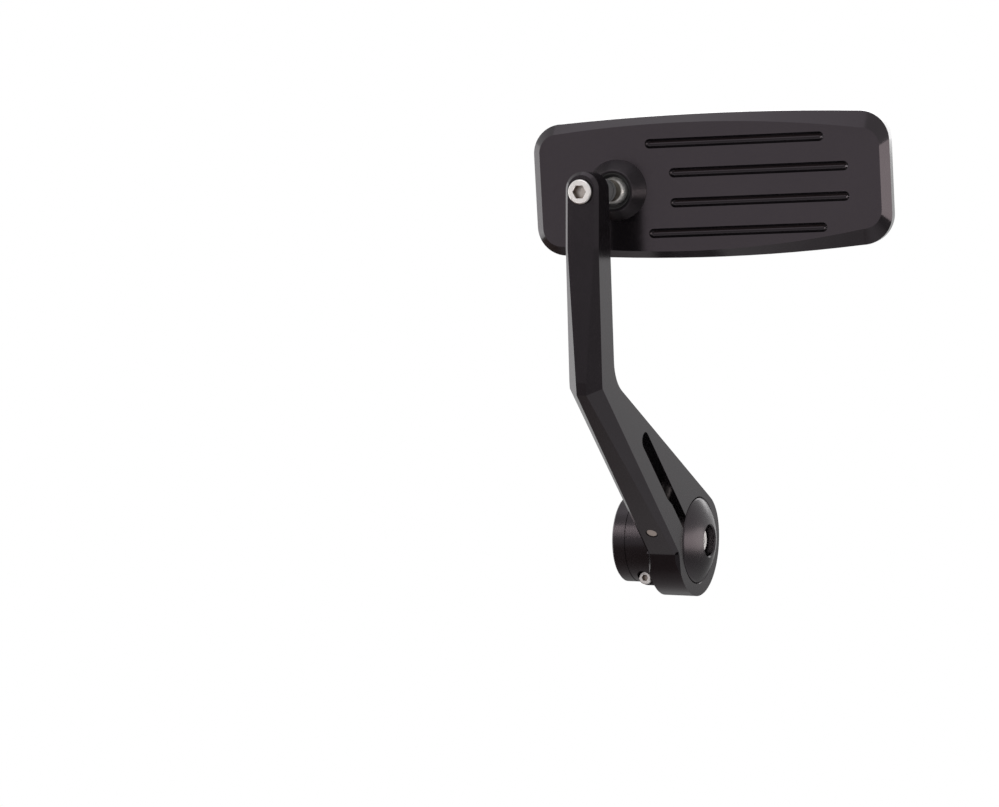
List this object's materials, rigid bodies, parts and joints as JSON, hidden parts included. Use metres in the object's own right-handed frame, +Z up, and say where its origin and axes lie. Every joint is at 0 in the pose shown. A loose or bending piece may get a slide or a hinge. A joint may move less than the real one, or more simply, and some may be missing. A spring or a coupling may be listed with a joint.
{
  "type": "bar end mirror",
  "caption": "Handlebar end mirror: split bar collar with a domed end cap, cranked clamp arm and a grooved rectangular mirror head on a ball joint.",
  "frame": {"origin": "on the bar axis at the mouth of the collar's clamp bore", "axes": "+X outward along the bar, +Z up, the back of the head faces -Y and the glass faces +Y"},
  "size_m": [0.1435, 0.1318, 0.1989],
  "materials": {
    "collar": "satin black anodised",
    "cap": "satin black anodised",
    "arm": "satin black anodised",
    "housing": "satin black anodised",
    "screws": "stainless, machined",
    "stud": "polished stainless",
    "washers": "zinc plated",
    "nylon": "black nylon",
    "rubber": "matt",
    "cup": "machined",
    "pad": "foam tape",
    "glass": "silvered glass"
  },
  "bodies": {
    "mount": {"bar_collar": "collar", "collar_screw": "screws", "end_cap": "cap", "cap_washer": "washers", "cap_screw": "screws"},
    "arm": {"arm": "arm", "arm_clamp_screw": "screws"},
    "stud": {"stud_screw": "screws", "stud_washer": "washers", "ball_stud": "stud"},
    "liner": {"ball_liner": "nylon"},
    "head": {"head_housing": "housing", "dust_ring": "rubber", "pressure_cup": "cup", "disc_spring": "washers", "socket_plug": "cup", "glass_pad": "pad", "mirror_glass": "glass"}
  },
  "joints": [
    {"name": "arm_swivel", "type": "hinge", "parent": "mount", "child": "arm", "pos_m": [0.0247, 0, 0], "axis": [1, 0, 0], "range_deg": [-90, 90]},
    {"name": "stud_spin", "type": "hinge", "parent": "arm", "child": "stud", "pos_m": [0.0247, -0.09541, 0.14329], "axis": [0, 0.9994, 0.0349], "range_deg": [-30, 30]},
    {"name": "head_pitch", "type": "hinge", "parent": "stud", "child": "liner", "pos_m": [0.0247, -0.07282, 0.14408], "axis": [0.9875, 0.1537, 0.0339], "range_deg": [-15, 15]},
    {"name": "head_yaw", "type": "hinge", "parent": "liner", "child": "head", "pos_m": [0.0247, -0.07282, 0.14408], "axis": [-0.0213, -0.0828, 0.9963], "range_deg": [-15, 15]}
  ]
}
